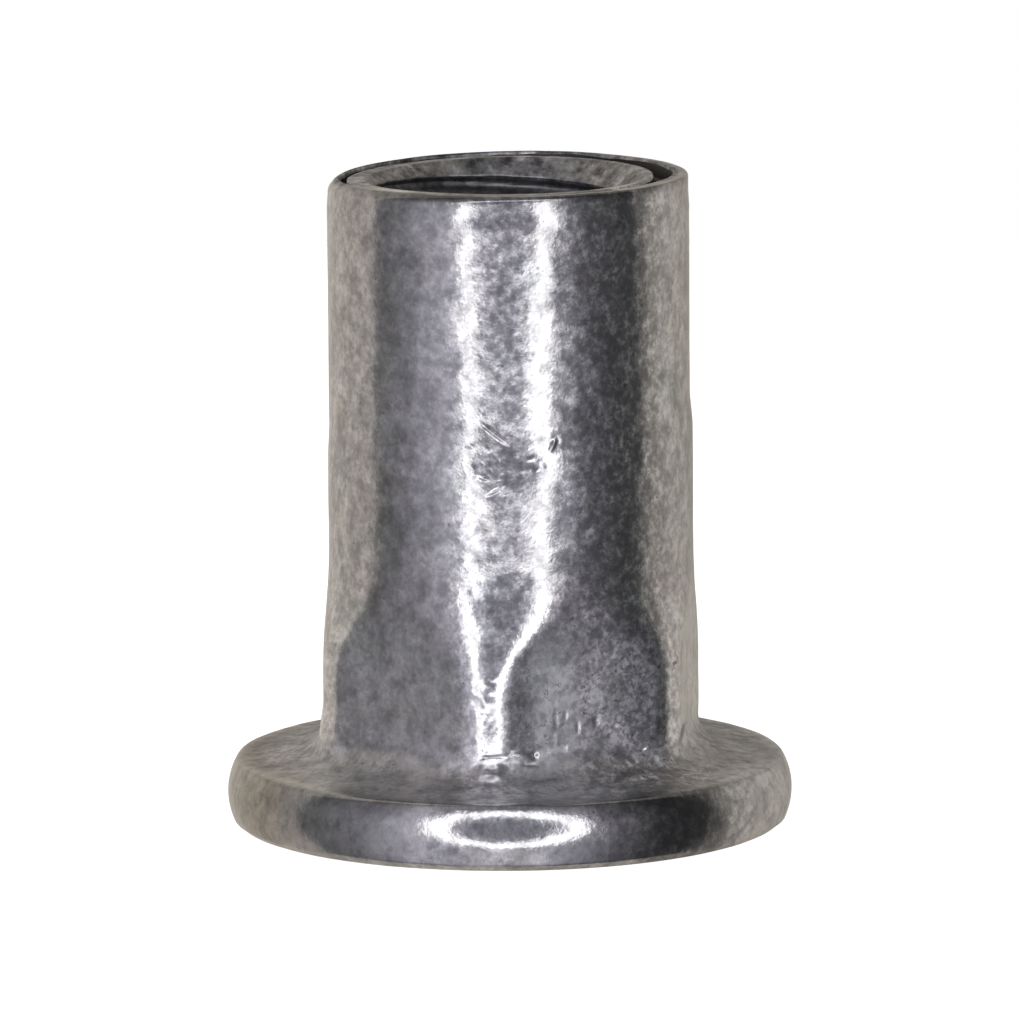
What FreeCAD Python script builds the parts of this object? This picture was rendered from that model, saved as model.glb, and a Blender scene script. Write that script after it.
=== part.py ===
import FreeCAD, Part
import math
import os
import Sketcher

# Half-hex open-end rivet nut, one piece, standing on its wide flat head.
# The origin is the centre of the head's outer face and +Z runs to the threaded open end.
# Two corners of the hex lie on the Y axis. All sizes are in millimetres.

doc = FreeCAD.newDocument("RivetNut")

drivingSizes = [
    ("total_height", 12.7, "overall length, from the head's outer face to the open end"),
    ("head_diameter", 11.0, "widest diameter of the head"),
    ("head_edge_height", 1.3, "height of the head's upper edge"),
    ("rim_belly_height", 0.62, "height at which the barrel-shaped rim is widest"),
    ("rim_arc_radius", 1.25, "radius of the rim's barrel curve"),
    ("foot_edge_radius", 0.14, "rounding where the rim meets the outer face"),
    ("seat_edge_radius", 0.08, "rounding of the head's upper edge"),
    ("seat_rise", 0.38, "how far the seat climbs from the edge to the shank"),
    ("seat_arc_radius", 6.1, "hollow curve of the seat"),
    ("neck_fillet_radius", 0.15, "fillet between the seat and the hex"),
    ("hex_across_flats", 7.06, "hex width across flats, and the lower round shank's diameter"),
    ("hex_corner_radius", 0.9, "radius of the rounded hex corners"),
    ("hex_top_height", 3.2, "height at which the hex starts to turn round"),
    ("blend_height", 2.1, "height over which the hex turns into a round"),
    ("shank_diameter", 7.0, "diameter of the upper shank, around the thread"),
    ("shank_step_height", 7.4, "height of the small step between the two shank diameters"),
    ("shank_step_length", 0.16, "length of that step's taper"),
    ("end_round_radius", 0.17, "rounding of the open end's outer edge"),
    ("chamber_diameter", 5.3, "bore of the thin-walled zone that folds when the nut is set"),
    ("chamber_depth", 6.9, "depth of that bore from the head's outer face"),
    ("chamber_taper", 0.5, "length of the cone between that bore and the thread"),
    ("entry_chamfer", 0.25, "chamfer at the head's mouth"),
    ("thread_bore_diameter", 4.2, "bore of the thread zone, at the thread's crests"),
    ("end_land_width", 0.26, "width of the end face outside the ring groove"),
    ("lip_groove_width", 0.32, "width of the ring groove in the end face"),
    ("lip_groove_depth", 0.34, "depth of that groove below the end face"),
    ("lip_groove_draft", 0.06, "slope of that groove's walls, over its depth"),
    ("lip_width", 0.21, "width of the lip inside that groove"),
    ("lip_drop", 0.12, "how far the lip lies below the end face"),
    ("mouth_chamfer_depth", 0.6, "depth of the cone from the lip down to the thread"),
]

sheet = doc.addObject("Spreadsheet::Sheet", "Dimensions")
for row, (alias, value, meaning) in enumerate(drivingSizes, start=1):
    sheet.set(f"A{row}", alias)
    sheet.set(f"B{row}", str(value))
    sheet.setAlias(f"B{row}", alias)
    sheet.set(f"C{row}", meaning)
doc.recompute()

body = doc.addObject("PartDesign::Body", "Body")
body.Label = "rivet_nut"
body.Placement = FreeCAD.Placement()

# The numbers by which a sketch knows a curve's own points, its origin and its two axes.
startPoint, endPoint, centrePoint = range(1, 4)
flatAxis, uprightAxis = range(-1, -3, -1)
originPoint = (flatAxis, startPoint)
cutOverrun = 1.0


def sizeOf(expression):
    """Value of an expression over the driving sizes."""
    return float(body.evalExpression(expression))


def originPlane(role):
    return next(plane for plane in body.Origin.OriginFeatures if plane.Role == role)


def newSketch(name, planeRole, heightExpression=None):
    sketch = body.newObject("Sketcher::SketchObject", name)
    sketch.AttachmentSupport = [(originPlane(planeRole), "")]
    sketch.MapMode = "FlatFace"
    if heightExpression is not None:
        sketch.setExpression("AttachmentOffset.Base.z", heightExpression)
    return sketch


def constrain(sketch, name, expression, kind, *geometry):
    """Dimensional constraint that follows an expression over the driving sizes."""
    value = sizeOf(expression)
    if kind == "Angle":
        value = math.radians(value)
    index = sketch.addConstraint(Sketcher.Constraint(kind, *geometry, value))
    sketch.renameConstraint(index, name)
    sketch.setExpression(f"Constraints.{name}", expression)


def placePoint(sketch, name, geometry, point, xExpression, yExpression):
    """Ties a point to its distance from the axis and its height; None leaves one of them free."""
    if xExpression == "0":
        sketch.addConstraint(Sketcher.Constraint("PointOnObject", geometry, point, uprightAxis))
    elif xExpression is not None:
        constrain(sketch, name + "_x", xExpression, "DistanceX", *originPoint, geometry, point)
    if yExpression is not None:
        constrain(sketch, name + "_y", yExpression, "DistanceY", *originPoint, geometry, point)


def turnedProfile(name, corners):
    """Closed outline of straight lines in the XZ plane, each corner named and tied to its sizes."""
    sketch = newSketch(name, "XZ_Plane")
    points = [FreeCAD.Vector(sizeOf(x), sizeOf(y), 0) for _, x, y in corners]
    for index, point in enumerate(points):
        nextPoint = points[(index + 1) % len(points)]
        sketch.addGeometry(Part.LineSegment(point, nextPoint))
    for index in range(len(points)):
        nextIndex = (index + 1) % len(points)
        sketch.addConstraint(Sketcher.Constraint("Coincident", index, endPoint, nextIndex, startPoint))
    for index, (corner, x, y) in enumerate(corners):
        placePoint(sketch, corner, index, startPoint, x, y)
    return sketch


def checkedVolume(feature, grows):
    """Recomputes and makes sure that the feature really added or removed material."""
    doc.recompute()
    before = feature.BaseFeature.Shape.Volume if feature.BaseFeature else 0.0
    after = feature.Shape.Volume
    changed = after > before if grows else after < before
    if not changed:
        raise RuntimeError(f"{feature.Name} changed nothing")


def turn(kind, name, sketch):
    feature = body.newObject(f"PartDesign::{kind}", name)
    feature.Profile = sketch
    feature.ReferenceAxis = (sketch, ["V_Axis"])
    feature.Angle = 360
    checkedVolume(feature, grows=(kind == "Revolution"))
    return feature


def circleEdges(shape, radius, height):
    """Names of the round edges about the Z axis at one radius and height."""
    names = []
    tolerance = 1e-4
    for index, edge in enumerate(shape.Edges, start=1):
        if not isinstance(edge.Curve, Part.Circle):
            continue
        centre = edge.Curve.Center
        onAxis = math.hypot(centre.x, centre.y) < tolerance
        if onAxis and abs(centre.z - height) < tolerance and abs(edge.Curve.Radius - radius) < tolerance:
            names.append(f"Edge{index}")
    return names


def roundEdges(name, base, edgeNames, radiusExpression):
    if not edgeNames:
        raise RuntimeError(f"{name} found no edge")
    feature = body.newObject("PartDesign::Fillet", name)
    feature.Base = (base, edgeNames)
    feature.setExpression("Radius", radiusExpression)
    doc.recompute()
    return feature


# The head is turned: a flat outer face, a barrel-shaped rim and a seat that climbs to the shank.
def headProfile():
    sketch = newSketch("HeadProfile", "XZ_Plane")
    rimRadius = sizeOf("Dimensions.rim_arc_radius")
    rimCentre = FreeCAD.Vector(sizeOf("Dimensions.head_diameter / 2") - rimRadius,
                               sizeOf("Dimensions.rim_belly_height"), 0)
    edgeHeight = sizeOf("Dimensions.head_edge_height")
    neckHeight = sizeOf("Dimensions.head_edge_height + Dimensions.seat_rise")
    footAngle = math.asin(-rimCentre.y / rimRadius)
    edgeAngle = math.asin((edgeHeight - rimCentre.y) / rimRadius)
    foot = FreeCAD.Vector(rimCentre.x + rimRadius * math.cos(footAngle), 0, 0)
    edge = FreeCAD.Vector(rimCentre.x + rimRadius * math.cos(edgeAngle), edgeHeight, 0)
    neck = FreeCAD.Vector(sizeOf("Dimensions.hex_across_flats / 2"), neckHeight, 0)
    seatRadius = sizeOf("Dimensions.seat_arc_radius")
    chord = edge - neck
    reach = math.sqrt(seatRadius ** 2 - (chord.Length / 2) ** 2)
    upward = FreeCAD.Vector(-chord.y, chord.x, 0).normalize()
    seatCentre = (edge + neck) / 2 + upward * reach
    neckAngle = math.atan2(neck.y - seatCentre.y, neck.x - seatCentre.x)
    seatEdgeAngle = math.atan2(edge.y - seatCentre.y, edge.x - seatCentre.x)
    normal = FreeCAD.Vector(0, 0, 1)
    axisTop = FreeCAD.Vector(0, neckHeight, 0)

    outerFace = sketch.addGeometry(Part.LineSegment(FreeCAD.Vector(), foot))
    rim = sketch.addGeometry(Part.ArcOfCircle(Part.Circle(rimCentre, normal, rimRadius), footAngle, edgeAngle))
    seat = sketch.addGeometry(
        Part.ArcOfCircle(Part.Circle(seatCentre, normal, seatRadius), neckAngle, seatEdgeAngle))
    top = sketch.addGeometry(Part.LineSegment(neck, axisTop))
    axis = sketch.addGeometry(Part.LineSegment(axisTop, FreeCAD.Vector()))

    sketch.addConstraint([
        Sketcher.Constraint("Coincident", outerFace, startPoint, *originPoint),
        Sketcher.Constraint("Horizontal", outerFace),
        Sketcher.Constraint("Coincident", outerFace, endPoint, rim, startPoint),
        Sketcher.Constraint("Coincident", rim, endPoint, seat, endPoint),
        Sketcher.Constraint("Coincident", seat, startPoint, top, startPoint),
        Sketcher.Constraint("Horizontal", top),
        Sketcher.Constraint("Coincident", top, endPoint, axis, startPoint),
        Sketcher.Constraint("Vertical", axis),
        Sketcher.Constraint("Coincident", axis, endPoint, *originPoint),
    ])
    placePoint(sketch, "rim_centre", rim, centrePoint,
               "Dimensions.head_diameter / 2 - Dimensions.rim_arc_radius", "Dimensions.rim_belly_height")
    constrain(sketch, "rim_radius", "Dimensions.rim_arc_radius", "Radius", rim)
    placePoint(sketch, "edge", rim, endPoint, None, "Dimensions.head_edge_height")
    placePoint(sketch, "neck", seat, startPoint,
               "Dimensions.hex_across_flats / 2", "Dimensions.head_edge_height + Dimensions.seat_rise")
    constrain(sketch, "seat_radius", "Dimensions.seat_arc_radius", "Radius", seat)
    return sketch


# A hexagon with rounded corners. Its corner radius can grow until the outline is almost a circle.
sides = 6
sideTurn = 360.0 / sides


def hexSection(name, heightExpression, cornerRadiusExpression):
    sketch = newSketch(name, "XY_Plane", heightExpression)
    apothem = sizeOf("Dimensions.hex_across_flats / 2")
    cornerRadius = sizeOf(cornerRadiusExpression)
    halfFlat = (apothem - cornerRadius) * math.tan(math.radians(sideTurn / 2))
    cornerDistance = (apothem - cornerRadius) / math.cos(math.radians(sideTurn / 2))
    normal = FreeCAD.Vector(0, 0, 1)
    flats = []
    corners = []
    for side in range(sides):
        facing = math.radians(side * sideTurn)
        outward = FreeCAD.Vector(math.cos(facing), math.sin(facing), 0)
        along = FreeCAD.Vector(-math.sin(facing), math.cos(facing), 0)
        middle = outward * apothem
        flats.append(sketch.addGeometry(Part.LineSegment(middle - along * halfFlat, middle + along * halfFlat)))
        cornerAngle = facing + math.radians(sideTurn / 2)
        centre = FreeCAD.Vector(math.cos(cornerAngle), math.sin(cornerAngle), 0) * cornerDistance
        circle = Part.Circle(centre, normal, cornerRadius)
        corners.append(sketch.addGeometry(
            Part.ArcOfCircle(circle, facing, facing + math.radians(sideTurn))))
    for side in range(sides):
        following = (side + 1) % sides
        sketch.addConstraint(Sketcher.Constraint("Tangent", flats[side], endPoint, corners[side], startPoint))
        sketch.addConstraint(
            Sketcher.Constraint("Tangent", corners[side], endPoint, flats[following], startPoint))
    for side in range(1, sides):
        sketch.addConstraint(Sketcher.Constraint("Equal", corners[0], corners[side]))
    for side in range(sides):
        direction = (side * sideTurn + 90 + 180) % 360 - 180
        sketch.addConstraint(Sketcher.Constraint("Angle", flats[side], math.radians(direction)))
        constrain(sketch, f"apothem_{side}", "Dimensions.hex_across_flats / 2",
                  "Distance", *originPoint, flats[side])
    constrain(sketch, "corner_radius", cornerRadiusExpression, "Radius", corners[0])
    return sketch


# A circle cut at the same angles as the hexagon, so that each flat narrows to a short arc.
def roundSection(name, heightExpression, flatSpan):
    sketch = newSketch(name, "XY_Plane", heightExpression)
    radius = sizeOf("Dimensions.hex_across_flats / 2")
    circle = Part.Circle(FreeCAD.Vector(), FreeCAD.Vector(0, 0, 1), radius)
    spans = [flatSpan, sideTurn - flatSpan] * sides
    angle = -flatSpan / 2
    for span in spans:
        sketch.addGeometry(Part.ArcOfCircle(circle, math.radians(angle), math.radians(angle + span)))
        angle += span
    for index, span in enumerate(spans):
        sketch.addConstraint(Sketcher.Constraint("Angle", index, math.radians(span)))
        if index > 0:
            sketch.addConstraint(Sketcher.Constraint("Tangent", index - 1, endPoint, index, startPoint))
            sketch.addConstraint(Sketcher.Constraint("Equal", 0, index))
    sketch.addConstraint(Sketcher.Constraint("Coincident", 0, centrePoint, *originPoint))
    sketch.addConstraint(Sketcher.Constraint("Symmetric", 0, startPoint, 0, endPoint, flatAxis))
    constrain(sketch, "radius", "Dimensions.hex_across_flats / 2", "Radius", 0)
    return sketch


head = turn("Revolution", "Head", headProfile())

# The hex runs from inside the head up to the height at which its corners start to fade.
hexStart = "Dimensions.head_edge_height / 2"
hexTop = "Dimensions.hex_top_height"
hexPad = body.newObject("PartDesign::Pad", "HexShank")
hexPad.Profile = hexSection("HexOutline", hexStart, "Dimensions.hex_corner_radius")
hexPad.setExpression("Length", f"{hexTop} - {hexStart}")
checkedVolume(hexPad, grows=True)

# The corners fade into the round shank: slowly at both ends, evenly between.
blendSteps = 5
softness = 0.6
shortArc = 2.0
blendSections = []
for step in range(blendSteps):
    share = step / blendSteps
    fade = share - softness * math.sin(2 * math.pi * share) / (2 * math.pi)
    height = f"{hexTop} + Dimensions.blend_height * {share:.3f}"
    cornerRadius = ("Dimensions.hex_corner_radius + (Dimensions.hex_across_flats / 2"
                    f" - Dimensions.hex_corner_radius) * {fade:.5f}")
    blendSections.append(hexSection(f"BlendOutline{step}", height, cornerRadius))
blendTop = f"{hexTop} + Dimensions.blend_height"
blendSections.append(roundSection("BlendRound", blendTop, shortArc))
blend = body.newObject("PartDesign::AdditiveLoft", "HexToRound")
blend.Profile = blendSections[0]
blend.Sections = blendSections[1:]
blend.Ruled = False
checkedVolume(blend, grows=True)

# The round shank, with its small step and the rounded outer edge of the open end.
shankSketch = turnedProfile("ShankProfile", [
    ("blend_axis", "0", blendTop),
    ("blend_wall", "Dimensions.hex_across_flats / 2", blendTop),
    ("step_low", "Dimensions.hex_across_flats / 2", "Dimensions.shank_step_height"),
    ("step_high", "Dimensions.shank_diameter / 2",
     "Dimensions.shank_step_height + Dimensions.shank_step_length"),
    ("end_wall", "Dimensions.shank_diameter / 2", "Dimensions.total_height"),
    ("end_axis", "0", "Dimensions.total_height"),
])
roundShank = turn("Revolution", "RoundShank", shankSketch)

endEdges = circleEdges(roundShank.Shape, sizeOf("Dimensions.shank_diameter / 2"),
                       sizeOf("Dimensions.total_height"))
endRound = roundEdges("OpenEndRound", roundShank, endEdges, "Dimensions.end_round_radius")

# The bore: chamfered mouth in the head, folding chamber, cone, thread zone and countersunk open end.
lipHeight = "Dimensions.total_height - Dimensions.lip_drop"
grooveOuter = "Dimensions.shank_diameter / 2 - Dimensions.end_land_width"
grooveInner = f"{grooveOuter} - Dimensions.lip_groove_width"
mouthRadius = f"{grooveInner} - Dimensions.lip_width"
threadTop = f"{lipHeight} - Dimensions.mouth_chamfer_depth"
threadBottom = "Dimensions.chamber_depth + Dimensions.chamber_taper"
pastEnd = f"Dimensions.total_height + {cutOverrun}"
chamberRadius = "Dimensions.chamber_diameter / 2"
threadRadius = "Dimensions.thread_bore_diameter / 2"
boreSketch = turnedProfile("BoreProfile", [
    ("axis_low", "0", "0"),
    ("entry", f"{chamberRadius} + Dimensions.entry_chamfer", "0"),
    ("chamber_low", chamberRadius, "Dimensions.entry_chamfer"),
    ("chamber_high", chamberRadius, "Dimensions.chamber_depth"),
    ("thread_low", threadRadius, threadBottom),
    ("thread_high", threadRadius, threadTop),
    ("mouth", mouthRadius, lipHeight),
    ("mouth_over", mouthRadius, pastEnd),
    ("axis_high", "0", pastEnd),
])
bore = turn("Groove", "Bore", boreSketch)

# The end face is stepped: a ring groove with a low lip inside it.
grooveFloor = "Dimensions.total_height - Dimensions.lip_groove_depth"
lipSketch = turnedProfile("LipProfile", [
    ("lip_inner", threadRadius, lipHeight),
    ("lip_outer", grooveInner, lipHeight),
    ("floor_inner", f"{grooveInner} + Dimensions.lip_groove_draft", grooveFloor),
    ("floor_outer", f"{grooveOuter} - Dimensions.lip_groove_draft", grooveFloor),
    ("land", grooveOuter, "Dimensions.total_height"),
    ("land_over", grooveOuter, pastEnd),
    ("inner_over", threadRadius, pastEnd),
])
lip = turn("Groove", "LipGroove", lipSketch)

# The rim's two edges, found where the barrel curve ends.
rimRadius = sizeOf("Dimensions.rim_arc_radius")
rimCentreX = sizeOf("Dimensions.head_diameter / 2") - rimRadius
rimCentreZ = sizeOf("Dimensions.rim_belly_height")
edgeHeight = sizeOf("Dimensions.head_edge_height")
footRadius = rimCentreX + math.sqrt(rimRadius ** 2 - rimCentreZ ** 2)
edgeRadius = rimCentreX + math.sqrt(rimRadius ** 2 - (edgeHeight - rimCentreZ) ** 2)
footRound = roundEdges("FootRound", lip, circleEdges(lip.Shape, footRadius, 0.0),
                       "Dimensions.foot_edge_radius")
seatRound = roundEdges("SeatEdgeRound", footRound, circleEdges(footRound.Shape, edgeRadius, edgeHeight),
                       "Dimensions.seat_edge_radius")


# The neck fillet runs all round the hex where it meets the seat.
def neckEdges(shape):
    apothem = sizeOf("Dimensions.hex_across_flats / 2")
    low = edgeHeight
    high = sizeOf("Dimensions.head_edge_height + Dimensions.seat_rise")
    tolerance = 1e-3
    names = []
    for index, edge in enumerate(shape.Edges, start=1):
        box = edge.BoundBox
        flatWise = low + tolerance < box.ZMin and box.ZMax < high + tolerance
        reach = min(math.hypot(vertex.X, vertex.Y) for vertex in edge.Vertexes)
        if flatWise and apothem - tolerance < reach < edgeRadius - tolerance:
            names.append(f"Edge{index}")
    return names


neck = roundEdges("NeckFillet", seatRound, neckEdges(seatRound.Shape), "Dimensions.neck_fillet_radius")
body.Tip = neck
doc.recompute()

for item in doc.Objects:
    if "Invalid" in item.State or "Error" in item.State:
        raise RuntimeError(f"{item.Name} failed: {item.State}")
subParts = [body]
for item in subParts:
    if item.Shape.isNull() or not item.Shape.isValid():
        raise RuntimeError(f"{item.Label} has no valid shape")
    if len(item.Shape.Solids) != 1:
        raise RuntimeError(f"{item.Label} is not one solid")

os.makedirs("parts", exist_ok=True)
for item in subParts:
    item.Shape.exportStep(f"parts/{item.Label}.step")
    bounds = item.Shape.optimalBoundingBox(True, False)
    print(item.Label, "volume", round(item.Shape.Volume, 3), "mm3, box",
          [round(value, 3) for value in (bounds.XMin, bounds.YMin, bounds.ZMin,
                                         bounds.XMax, bounds.YMax, bounds.ZMax)])
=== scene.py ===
import math
import random
from types import SimpleNamespace

import bmesh
import bpy
from mathutils import Matrix, Vector, noise


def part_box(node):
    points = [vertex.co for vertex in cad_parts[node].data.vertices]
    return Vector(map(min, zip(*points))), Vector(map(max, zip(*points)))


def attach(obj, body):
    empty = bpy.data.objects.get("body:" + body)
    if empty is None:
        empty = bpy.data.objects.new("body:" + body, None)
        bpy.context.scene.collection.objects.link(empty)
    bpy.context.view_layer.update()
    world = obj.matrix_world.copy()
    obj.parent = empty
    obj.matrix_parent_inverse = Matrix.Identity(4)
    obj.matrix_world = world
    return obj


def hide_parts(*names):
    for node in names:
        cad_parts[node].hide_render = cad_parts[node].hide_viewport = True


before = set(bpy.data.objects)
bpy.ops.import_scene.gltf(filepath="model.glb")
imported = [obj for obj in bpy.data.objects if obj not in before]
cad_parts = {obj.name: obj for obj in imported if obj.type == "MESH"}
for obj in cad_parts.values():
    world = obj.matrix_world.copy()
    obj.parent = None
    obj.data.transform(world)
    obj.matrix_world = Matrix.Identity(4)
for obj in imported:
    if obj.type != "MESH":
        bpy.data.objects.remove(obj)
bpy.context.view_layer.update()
print("frame loaded")

mm = 0.001
nodeName = "rivet_nut"
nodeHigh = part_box(nodeName)[1]

# The picture looks at the nut a little to one side of a hex corner, so the nut is shaped as the
# picture shows it, with the viewer on -Y, and then turned by this angle to match the solid.
pictureTurn = math.radians(8.6)

# All sizes of the nut are in millimetres, and heights are above its head's outer face. In degrees
# are the two sides, counted round the axis from the picture's right, the twist, and the rim's and
# the foot's turns.
nut = {
    "length": nodeHigh.z / mm,
    "headRadius": nodeHigh.x / mm,
    "rimArcRadius": 1.25,
    "rimBelly": 0.62,
    "rimLeadTurn": 6,
    "rimRestTurn": 3,
    "rimSteps": 22,
    "edgeHeight": 1.3,
    "seatRise": 0.38,
    "seatArcRadius": 6.1,
    "flatFillet": 0.48,
    "cornerFillet": 0.26,
    "hexApothem": 3.53,
    "hexCornerRadius": 1.04,
    "hexTop": 3.2,
    "blendHeight": 2.15,
    "blendSoftness": 0.6,
    "shankRadius": 3.5,
    "stepHeight": 7.15,
    "stepLength": 0.75,
    "stepClimb": 0.55,
    "stepWander": 0.12,
    "stepZone": 1.0,
    "ovality": 0.03,
    "ovalityLow": 0.025,
    "leftTuck": 0.055,
    "leftTuckLow": 0.06,
    "leanFade": 0.5,
    "plating": 0.012,
    "endRound": 0.19,
    "endRoundMore": 0.13,
    "endRoundSide": 150,
    "endZone": 0.32,
    "endSag": 0.075,
    "sagSide": 165,
    "topZone": 0.7,
    "lipShift": 0.115,
    "lipOffset": 0.035,
    "twist": 1.2,
    "landWidth": 0.26,
    "grooveWidth": 0.32,
    "grooveDepth": 0.34,
    "grooveDraft": 0.06,
    "lipWidth": 0.21,
    "lipDrop": 0.055,
    "mouthDepth": 0.6,
    "threadCrest": 2.1,
    "threadRoot": 2.52,
    "threadFlare": 0.2,
    "flareStart": 0.1,
    "flareLength": 0.35,
    "pitch": 0.8,
    "crestFlat": 0.2,
    "rootFlat": 0.1,
    "threadStart": 0.34,
    "chamberRadius": 2.65,
    "chamberDepth": 6.9,
    "chamberTaper": 0.5,
    "entryChamfer": 0.25,
    "footRound": 0.14,
    "footTurn": 60,
    "footSteps": 5,
    "edgeRound": 0.08,
    "edgeShare": 1.1,
    "spinSteps": 240,
    "weld": 1e-4,
    "slack": 1e-3,
}

rimCentreRadius = nut["headRadius"] - nut["rimArcRadius"]
footAngle = math.asin(nut["rimBelly"] / nut["rimArcRadius"])
edgeAngle = math.asin((nut["edgeHeight"] - nut["rimBelly"]) / nut["rimArcRadius"])
footRadius = rimCentreRadius + nut["rimArcRadius"] * math.cos(footAngle)
edgeRadius = rimCentreRadius + nut["rimArcRadius"] * math.cos(edgeAngle)
neckHeight = nut["edgeHeight"] + nut["seatRise"]
neckTop = neckHeight + nut["flatFillet"]
seatInner = nut["hexApothem"] + nut["flatFillet"]
seatOuter = edgeRadius - nut["edgeRound"] * nut["edgeShare"]
hexRound = nut["hexTop"] + nut["blendHeight"]
lipHeight = nut["length"] - nut["lipDrop"]
landInner = nut["shankRadius"] - nut["landWidth"]
lipOuter = landInner - nut["grooveWidth"]
lipInner = lipOuter - nut["lipWidth"]
lipMiddle = (lipOuter + lipInner + nut["lipWidth"]) / 2 + nut["lipOffset"]
grooveFloor = nut["length"] - nut["grooveDepth"]
threadTop = lipHeight - nut["mouthDepth"]
threadBottom = nut["chamberDepth"] + nut["chamberTaper"]


def clamp(share):
    return min(max(share, 0), 1)


# Centre of the seat's hollow curve, from its two ends and its radius.
def seatArcCentre():
    neck = Vector((nut["hexApothem"], neckHeight))
    edge = Vector((edgeRadius, nut["edgeHeight"]))
    chord = edge - neck
    reach = math.sqrt(nut["seatArcRadius"] ** 2 - (chord.length / 2) ** 2)
    return (neck + edge) / 2 + Vector((-chord.y, chord.x)).normalized() * reach


seatCentre = seatArcCentre()


def seatHeight(radius):
    across = min(abs(radius - seatCentre.x), nut["seatArcRadius"])
    return seatCentre.y - math.sqrt(nut["seatArcRadius"] ** 2 - across ** 2)


# Distance from the axis to the rounded hexagon's outline, in one direction.
def hexReach(angle, cornerRadius):
    apothem = nut["hexApothem"]
    sixth = math.radians(60)
    fromFlat = (angle + pictureTurn - math.radians(nut["twist"]) + sixth / 2) % sixth - sixth / 2
    off = abs(fromFlat)
    halfFlat = (apothem - cornerRadius) * math.tan(sixth / 2)
    if math.tan(off) * apothem <= halfFlat:
        return apothem / math.cos(off)
    centre = (apothem - cornerRadius) / math.cos(sixth / 2)
    lean = sixth / 2 - off
    side = centre * math.sin(lean)
    return centre * math.cos(lean) + math.sqrt(cornerRadius ** 2 - side ** 2)


# 0 where the hex is full, 1 where the shank is round.
def hexFade(height):
    share = clamp((height - nut["hexTop"]) / nut["blendHeight"])
    return share - nut["blendSoftness"] * math.sin(2 * math.pi * share) / (2 * math.pi)


# Smooth hill, 1 in the middle and 0 from one width away.
def bump(distance, width):
    share = min(abs(distance) / width, 1)
    return (1 - share * share) ** 2


# A wire profile is drawn as with a pen, in the XZ plane, then spun. The pen is a radius and a height.
def vertAtPen(bm, pen):
    place = Vector((pen[0], 0, pen[1]))
    return min(bm.verts, key=lambda vert: (vert.co - place).length_squared)


def drawLine(bm, pen, radius, height, cuts):
    made = bmesh.ops.extrude_vert_indiv(bm, verts=[vertAtPen(bm, pen)])
    made["verts"][0].co = (radius, 0, height)
    if cuts:
        bmesh.ops.subdivide_edges(bm, edges=made["edges"], cuts=cuts)
    return radius, height


# Turns the pen about a centre in the XZ plane; a positive turn goes from +X towards +Z.
def drawArc(bm, pen, radius, height, turn, steps):
    bmesh.ops.spin(bm, geom=[vertAtPen(bm, pen)], cent=(radius, 0, height), axis=(0, -1, 0),
                   angle=turn, steps=steps, use_merge=False, use_duplicate=False)
    across, up = pen[0] - radius, pen[1] - height
    return (radius + across * math.cos(turn) - up * math.sin(turn),
            height + across * math.sin(turn) + up * math.cos(turn))


# The nut's wall, traced once round: outer face, rim, seat, shank, open end, thread, chamber.
def drawNutProfile(bm):
    footStart = footRadius - nut["footRound"]
    pen = (nut["chamberRadius"] + nut["entryChamfer"], 0)
    bm.verts.new((pen[0], 0, pen[1]))
    pen = drawLine(bm, pen, footStart, 0, 7)
    pen = drawArc(bm, pen, footStart, nut["footRound"], math.radians(nut["footTurn"]), nut["footSteps"])
    restAngle = -footAngle + math.radians(nut["rimLeadTurn"])
    pen = drawLine(bm, pen, rimCentreRadius + nut["rimArcRadius"] * math.cos(restAngle),
                   nut["rimBelly"] + nut["rimArcRadius"] * math.sin(restAngle), 0)
    pen = drawArc(bm, pen, rimCentreRadius, nut["rimBelly"],
                  edgeAngle - restAngle - math.radians(nut["rimRestTurn"]), nut["rimSteps"])
    # Two points round off the rim's upper edge.
    for share in (0.25, 0.6):
        pen = drawLine(bm, pen, edgeRadius - nut["edgeRound"] * share * share,
                       nut["edgeHeight"] - nut["edgeRound"] * 0.25 * (1 - share), 0)
    # The other corners: radius, height, and the number of cuts in the line that leads there.
    corners = [
        (seatOuter, seatHeight(seatOuter), 0),
        (seatInner, neckHeight, 12),
        (nut["hexApothem"], neckHeight, 7),
        (nut["hexApothem"], neckTop, 7),
        (nut["hexApothem"], nut["stepHeight"], 64),
        (nut["hexApothem"], nut["stepHeight"] + nut["stepZone"], 12),
        (nut["shankRadius"], nut["length"] - nut["endZone"], 48),
        (nut["shankRadius"], nut["length"], 11),
        (landInner, nut["length"], 9),
        (landInner - nut["grooveDraft"], grooveFloor, 4),
        (lipOuter + nut["grooveDraft"], grooveFloor, 3),
        (lipOuter, lipHeight, 3),
        (lipInner, lipHeight, 4),
        (nut["threadCrest"], threadTop, 16),
        (nut["threadCrest"], threadBottom, 52),
        (nut["chamberRadius"], nut["chamberDepth"], 5),
        (nut["chamberRadius"], nut["entryChamfer"], 6),
        (nut["chamberRadius"] + nut["entryChamfer"], 0, 2),
    ]
    for radius, height, cuts in corners:
        pen = drawLine(bm, pen, radius, height, cuts)
    bmesh.ops.remove_doubles(bm, verts=bm.verts[:], dist=nut["weld"])


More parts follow.
